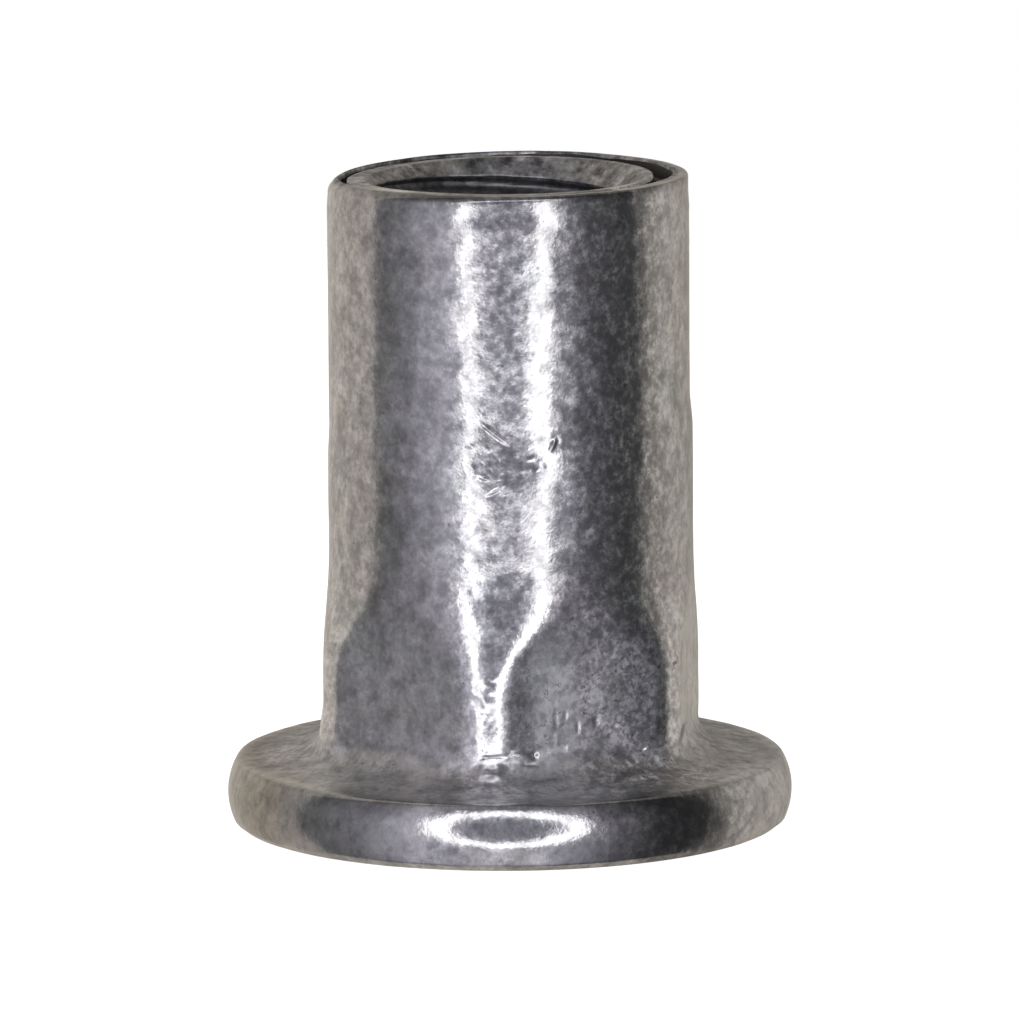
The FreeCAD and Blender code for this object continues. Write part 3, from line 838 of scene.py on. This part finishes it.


# Cracks in the plating of the pressed flats, painted shade near the hex's corners, and a painted reflection
# round the rim.
def crackShadeAndReflectionColour(tree, field, colour):
    place, round01, hexZone = field.place, field.round01, field.hexZone
    offCrack = maths(tree, "ABSOLUTE", maths(tree, "SUBTRACT", noiseField(tree, place, 1.9, 4, 0.6), 0.5))
    crackLine = ramp(tree, offCrack, [(0.004, 1.0), (0.012, 0.0)])
    crackPlace = ramp(tree, noiseField(tree, place, 1.3, 2), [(0.5, 0.0), (0.56, 1.0)])
    frontRight = ramp(tree, round01, [(0.50, 0.25), (0.53, 1.0), (0.6, 1.0), (0.63, 0.3)])
    cracks = product(tree, crackLine, crackPlace, hexZone, frontRight)
    colour = shadeBy(tree, colour, cracks, zinc["crackShade"])
    # Painted shade near the hex's corners, broken up in blots.
    cornerShadeBands = ramp(tree, round01, [(0.500, 0.0), (0.506, 0.9), (0.520, 0.6), (0.535, 0.0),
                                      (0.606, 0.0), (0.620, 0.6), (0.638, 0.6), (0.648, 0.0)])
    cornerShadeBlots = ramp(tree, noiseField(tree, place, 5.5, 4, 0.7), [(0.42, 1.0), (0.60, 0.0)])
    corners = product(tree, cornerShadeBands, cornerShadeBlots, hexZone)
    colour = shadeBy(tree, colour, corners, zinc["cornerShade"])
    # Painted reflection round the rim: tinted beige on the left and darker on the right, by bearing from the
    # viewer.
    rimReflection = ramp(tree, round01, [(0.02, 1.0), (0.2, (0.72, 0.68, 0.61, 1)), (0.33, (0.70, 0.66, 0.59, 1)),
                                    (0.365, 0.72), (0.41, 0.76), (0.44, 0.95), (0.56, 0.95), (0.585, 0.5),
                                    (0.63, 0.5), (0.648, 1.0)])
    return mixColour(tree, field.head, colour, multiplyColour(tree, colour, rimReflection))


# Fine relief in millimetres: worn patches, a peel like an orange's, and two sizes of grain.
def zincRelief(tree, field):
    place = field.place
    peel = product(tree, noiseField(tree, place, 2.6, 1.5), field.wear, field.liveliness)
    fineGrain = product(tree, noiseField(tree, place, 8, 2), field.keep)
    relief = product(tree, field.patchMask, -zinc["patchDepth"])
    relief = maths(tree, "MULTIPLY_ADD", peel, zinc["peelDepth"], relief)
    relief = maths(tree, "MULTIPLY_ADD", fineGrain, zinc["fineDepth"], relief)
    return maths(tree, "MULTIPLY_ADD", noiseField(tree, place, 17, 2), zinc["grainDepth"], relief)


def makeZinc():
    material, tree = newMaterial("wornZinc")
    link = tree.links.new
    output = addNode(tree, "ShaderNodeOutputMaterial")
    shader = addNode(tree, "ShaderNodeBsdfPrincipled")
    shader.inputs["Metallic"].default_value = 1
    field = zincFields(tree)
    colour = mouthColour(tree, field, platingShadeAndHighlights(tree, field))
    link(crackShadeAndReflectionColour(tree, field, colour), shader.inputs["Base Color"])
    link(zincRoughness(tree, field), shader.inputs["Roughness"])
    bumps = addNode(tree, "ShaderNodeBump")
    bumps.inputs["Distance"].default_value = mm
    link(zincRelief(tree, field), bumps.inputs["Height"])
    link(bumps.outputs["Normal"], shader.inputs["Normal"])
    link(shader.outputs["BSDF"], output.inputs["Surface"])
    return material


def glowMaterial(name, colour, strength):
    material, tree = newMaterial(name)
    output = addNode(tree, "ShaderNodeOutputMaterial")
    glow = addNode(tree, "ShaderNodeEmission")
    glow.inputs["Color"].default_value = (*colour, 1)
    glow.inputs["Strength"].default_value = strength
    tree.links.new(glow.outputs["Emission"], output.inputs["Surface"])
    return material


# Puts a finished bmesh, drawn in the picture's frame, on the stage, hidden from the camera.
def stageObject(name, bm, material):
    bmesh.ops.rotate(bm, verts=bm.verts[:], cent=(0, 0, 0), matrix=Matrix.Rotation(pictureTurn, 3, "Z"))
    bmesh.ops.scale(bm, verts=bm.verts[:], vec=(mm, mm, mm))
    mesh = bpy.data.meshes.new(name)
    bm.to_mesh(mesh)
    bm.free()
    mesh.materials.append(material)
    thing = bpy.data.objects.new(name, mesh)
    bpy.context.scene.collection.objects.link(thing)
    thing.visible_camera = False
    thing.visible_shadow = False
    return thing


# The camera: places in the picture's frame in millimetres, angles in degrees.
view = {
    "distance": 203.2,
    "elevation": 9.38,
    "turnHeight": 6.434,
    "aimHeight": 6.094,
    "aimSide": 0.039,
    "lens": 369.6,
    "sensor": 36.0,
    "roll": -0.4,
    "clipNear": 10.0,
    "clipFar": 5000.0,
}


def placeCamera():
    elevation = math.radians(view["elevation"])
    turn = Matrix.Rotation(pictureTurn, 3, "Z")
    eye = turn @ Vector((0, -view["distance"] * math.cos(elevation),
                         view["turnHeight"] + view["distance"] * math.sin(elevation)))
    aim = turn @ Vector((view["aimSide"], 0, view["aimHeight"]))
    data = bpy.data.cameras.new("camera")
    data.lens = view["lens"]
    data.sensor_width = view["sensor"]
    data.clip_start = view["clipNear"] * mm
    data.clip_end = view["clipFar"] * mm
    camera = bpy.data.objects.new("camera", data)
    camera.location = eye * mm
    look = (aim - eye).to_track_quat("-Z", "Y")
    camera.rotation_mode = "QUATERNION"
    camera.rotation_quaternion = look @ Matrix.Rotation(math.radians(view["roll"]), 3, "Z").to_quaternion()
    bpy.context.scene.collection.objects.link(camera)
    bpy.context.scene.camera = camera


# Lamps and papers, in millimetres. The tent's colours go by bearing from the picture's viewer, in
# degrees, and right is positive.
light = {
    "ringInner": 91.0,
    "ringOuter": 131.0,
    "ringShift": -9.0,
    "ringStrength": 3.0,
    "ringColour": (1, 0.985, 1),
    "lensRadius": 60.0,
    "lensPlace": 1.04,
    "lensColour": (0.31, 0.305, 0.35),
    "hoodPlace": 1.06,
    "hoodColour": (0.46, 0.45, 0.52),
    "paperRadius": 48.0,
    "paperDistance": 150.0,
    "paperSide": -14.0,
    "paperDrop": 41.0,
    "paperColour": (0.8, 0.78, 0.82),
    "tentRadius": 600.0,
    "floorSize": 80.0,
    "floorDrop": 0.02,
    "floorColour": (0.9, 0.9, 0.9, 1),
    "floorGlow": 0.93,
    "tent": [
        (-180, (0.6, 0.555, 0.49)), (-136, (0.62, 0.575, 0.515)), (-120, (0.58, 0.53, 0.48)),
        (-104, (0.56, 0.52, 0.475)), (-98, (0.52, 0.485, 0.45)), (-94, (0.29, 0.28, 0.275)),
        (-90, (0.238, 0.232, 0.232)), (-84, (0.228, 0.222, 0.228)), (-70, (0.295, 0.285, 0.31)),
        (-64, (0.34, 0.335, 0.37)), (-58, (0.42, 0.41, 0.45)), (-52, (0.49, 0.47, 0.52)),
        (-46, (0.58, 0.56, 0.62)), (-40, (0.64, 0.62, 0.69)), (-20, (0.5, 0.49, 0.56)),
        (25, (0.45, 0.44, 0.5)), (36, (0.32, 0.315, 0.35)), (42, (0.192, 0.187, 0.21)),
        (52, (0.17, 0.167, 0.182)), (72, (0.1, 0.1, 0.104)), (80, (0.12, 0.12, 0.123)),
        (86, (0.125, 0.125, 0.125)), (89, (0.16, 0.157, 0.152)), (91, (0.28, 0.27, 0.25)),
        (97, (0.36, 0.343, 0.315)), (100, (0.51, 0.478, 0.435)), (126, (0.55, 0.51, 0.46)),
        (142, (0.52, 0.482, 0.425)), (152, (0.45, 0.42, 0.37)), (160, (0.4, 0.373, 0.33)),
        (170, (0.45, 0.414, 0.37)),
    ],
}


# Stands a flat shape, drawn round the origin, upright before the camera's eye at a distance.
def faceCamera(bm, distance, side=0.0):
    elevation = math.radians(view["elevation"])
    bmesh.ops.translate(bm, verts=bm.verts[:], vec=(side, 0, 0))
    bmesh.ops.rotate(bm, verts=bm.verts[:], cent=(0, 0, 0),
                     matrix=Matrix.Rotation(math.radians(90) - elevation, 3, "X"))
    centre = Vector((0, -distance * math.cos(elevation), view["turnHeight"] + distance * math.sin(elevation)))
    bmesh.ops.translate(bm, verts=bm.verts[:], vec=centre)


def makeRingLamp():
    bm = bmesh.new()
    bmesh.ops.create_circle(bm, cap_ends=False, segments=64, radius=light["ringInner"])
    made = bmesh.ops.extrude_edge_only(bm, edges=bm.edges[:])
    outer = [item for item in made["geom"] if isinstance(item, bmesh.types.BMVert)]
    grow = light["ringOuter"] / light["ringInner"]
    bmesh.ops.scale(bm, verts=outer, vec=(grow, grow, 1))
    faceCamera(bm, view["distance"], light["ringShift"])
    stageObject("ringLamp", bm, glowMaterial("ringGlow", light["ringColour"], light["ringStrength"]))


def makeDisc(name, radius, distance, colour):
    bm = bmesh.new()
    bmesh.ops.create_circle(bm, cap_ends=True, segments=48, radius=radius)
    faceCamera(bm, distance)
    stageObject(name, bm, glowMaterial(name + "Glow", colour, 1))


# White paper in front of the foot, mirrored only in the rim's lower half.
def makeFrontPaper():
    bm = bmesh.new()
    bmesh.ops.create_circle(bm, cap_ends=True, segments=32, radius=light["paperRadius"])
    down = math.radians(light["paperDrop"])
    distance = light["paperDistance"]
    bmesh.ops.rotate(bm, verts=bm.verts[:], cent=(0, 0, 0),
                     matrix=Matrix.Rotation(math.radians(90) + down, 3, "X"))
    bmesh.ops.translate(bm, verts=bm.verts[:],
                        vec=(light["paperSide"], -distance * math.cos(down), -distance * math.sin(down)))
    stageObject("frontPaper", bm, glowMaterial("paperGlow", light["paperColour"], 1))


# Cloth tent round the nut, painted by bearing with what the metal mirrors in the picture.
def makeTent():
    material, tree = newMaterial("tentCloth")
    output = addNode(tree, "ShaderNodeOutputMaterial")
    glow = addNode(tree, "ShaderNodeEmission")
    stops = [(0.5 + turn / 360, (*colour, 1)) for turn, colour in light["tent"]]
    tree.links.new(ramp(tree, bearing(tree), stops), glow.inputs["Color"])
    apart = addNode(tree, "ShaderNodeSeparateXYZ")
    tree.links.new(turnedPlace(tree), apart.inputs["Vector"])
    level = maths(tree, "MULTIPLY_ADD", apart.outputs["Z"], 0.5 / light["tentRadius"], 0.5)
    tree.links.new(ramp(tree, level, [(0.62, 1.0), (0.82, 0.72)]), glow.inputs["Strength"])
    tree.links.new(glow.outputs["Emission"], output.inputs["Surface"])
    bm = bmesh.new()
    bmesh.ops.create_icosphere(bm, subdivisions=2, radius=light["tentRadius"])
    stageObject("tent", bm, material)


def makeFloor():
    material, tree = newMaterial("whiteFloor")
    link = tree.links.new
    output = addNode(tree, "ShaderNodeOutputMaterial")
    paper = addNode(tree, "ShaderNodeBsdfDiffuse")
    paper.inputs["Color"].default_value = light["floorColour"]
    glow = addNode(tree, "ShaderNodeEmission")
    glow.inputs["Strength"].default_value = light["floorGlow"]
    both = addNode(tree, "ShaderNodeAddShader")
    link(paper.outputs["BSDF"], both.inputs[0])
    link(glow.outputs["Emission"], both.inputs[1])
    link(both.outputs["Shader"], output.inputs["Surface"])
    bm = bmesh.new()
    bmesh.ops.create_grid(bm, x_segments=1, y_segments=1, size=light["floorSize"])
    floor = stageObject("floor", bm, material)
    floor.visible_camera = True
    floor.visible_glossy = False
    floor.location.z = -light["floorDrop"] * mm


def makeWorld():
    world = bpy.data.worlds.new("whiteRoom")
    world.use_nodes = True
    background = world.node_tree.nodes["Background"]
    background.inputs["Color"].default_value = (1, 1, 1, 1)
    background.inputs["Strength"].default_value = 1
    bpy.context.scene.world = world


placeCamera()
makeWorld()
makeFloor()
makeTent()
makeRingLamp()
makeFrontPaper()
makeDisc("cameraHood", light["ringInner"], view["distance"] * light["hoodPlace"], light["hoodColour"])
makeDisc("cameraLens", light["lensRadius"], view["distance"] * light["lensPlace"], light["lensColour"])
print("stage ready")

zincMaterial = makeZinc()
nutBody = makeNut(zincMaterial)
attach(nutBody, "root")
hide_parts(nodeName)

bpy.context.scene.view_settings.view_transform = "Standard"
